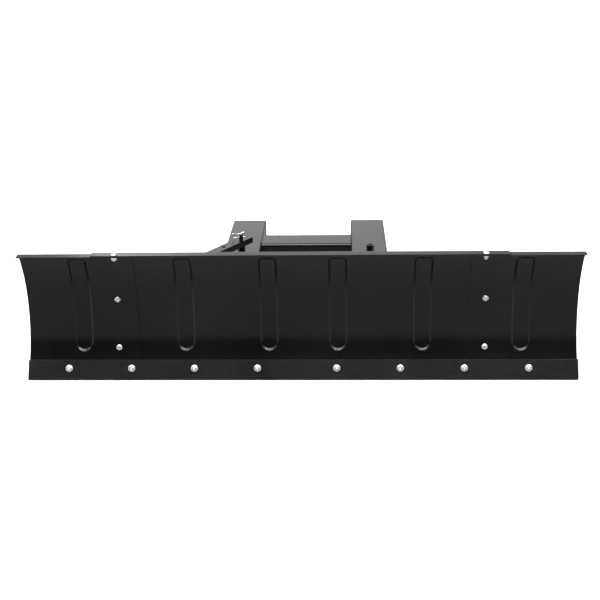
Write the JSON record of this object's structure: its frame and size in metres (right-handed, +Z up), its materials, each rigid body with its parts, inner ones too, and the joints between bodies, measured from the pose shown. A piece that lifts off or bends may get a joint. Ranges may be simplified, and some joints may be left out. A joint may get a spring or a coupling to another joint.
{
  "type": "ATV plow blade",
  "caption": "Wide black snow plow for an ATV: rolled moldboard with bolt-on wings and cutting edge, pivoting on a push frame and set by a pinned steering arm.",
  "frame": {"origin": "Centre of the bounding box at ground level, with the plow parked on its cutting edge and the rear ends of its side rails.", "axes": "+X across the blade, to the right as seen from in front of it; +Y rearward, from the blade to the hitch end; +Z up. The push frame slopes down to the rear by the park angle of 8.36 degrees, and the king pin leans back by the same angle."},
  "size_m": [1.5, 0.8794, 0.3551],
  "materials": {
    "black_powder_coat": "semi-gloss black powder coat on steel",
    "edge_powder_coat": "satin black powder coat on a steel wear bar",
    "zinc_plated_steel": "bright zinc plating",
    "black_oxide_steel": "black oxide, lightly oiled",
    "bronze": "plain bronze, worn"
  },
  "bodies": {
    "push_frame": {"left_side_rail": "black_powder_coat", "right_side_rail": "black_powder_coat", "front_cross_member": "black_powder_coat", "rear_cross_member": "black_powder_coat", "nose_tube": "black_powder_coat", "left_gusset": "black_powder_coat", "right_gusset": "black_powder_coat", "pivot_sleeve": "black_powder_coat", "pivot_bush": "bronze", "left_post": "black_powder_coat", "right_post": "black_powder_coat", "lift_eye": "black_powder_coat"},
    "blade": {"centre_moldboard": "black_powder_coat", "left_wing": "black_powder_coat", "right_wing": "black_powder_coat", "cutting_edge": "edge_powder_coat", "cutting_edge_bolts": "zinc_plated_steel", "cutting_edge_spacers": "zinc_plated_steel", "cutting_edge_washers": "zinc_plated_steel", "cutting_edge_nuts": "zinc_plated_steel", "wing_bolts": "zinc_plated_steel", "wing_washers": "zinc_plated_steel", "wing_nuts": "zinc_plated_steel", "lip_bolts": "zinc_plated_steel", "lip_washers": "zinc_plated_steel", "lip_nuts": "zinc_plated_steel", "left_inner_rib": "black_powder_coat", "right_inner_rib": "black_powder_coat", "left_outer_rib": "black_powder_coat", "right_outer_rib": "black_powder_coat", "back_beam": "black_powder_coat", "pivot_bracket": "black_powder_coat", "king_pin": "zinc_plated_steel", "king_pin_nut": "zinc_plated_steel", "king_pin_washers": "zinc_plated_steel", "left_arm_bracket": "black_powder_coat", "right_arm_bracket": "black_powder_coat", "arm_pivot_pin": "zinc_plated_steel", "arm_pin_cotter": "zinc_plated_steel"},
    "arm": {"steering_arm": "black_powder_coat"},
    "arm_lock_pin": {"lock_pin": "black_oxide_steel"},
    "arm_lock_clip": {"lock_clip": "zinc_plated_steel"}
  },
  "joints": [
    {"name": "steer", "type": "hinge", "parent": "push_frame", "child": "blade", "pos_m": [0, -0.25126, 0.13059], "axis": [0, -0.1454, -0.9894], "range_deg": [0, 30]},
    {"name": "arm_swing", "type": "hinge", "parent": "blade", "child": "arm", "pos_m": [-0.4, -0.27515, 0.22254], "axis": [0, 0.1454, 0.9894], "range_deg": [0, 9]},
    {"name": "lock_pin_lift", "type": "slide", "parent": "arm", "child": "arm_lock_pin", "axis": [0, 0.1454, 0.9894], "range_m": [0, 0.05]},
    {"name": "lock_clip_pull", "type": "slide", "parent": "arm_lock_pin", "child": "arm_lock_clip", "axis": [-0.9397, -0.3384, 0.0497], "range_m": [0, 0.03]}
  ],
  "couplings": [
    {"joint": "arm_swing", "follows": "steer", "ratio": 0.28}
  ]
}
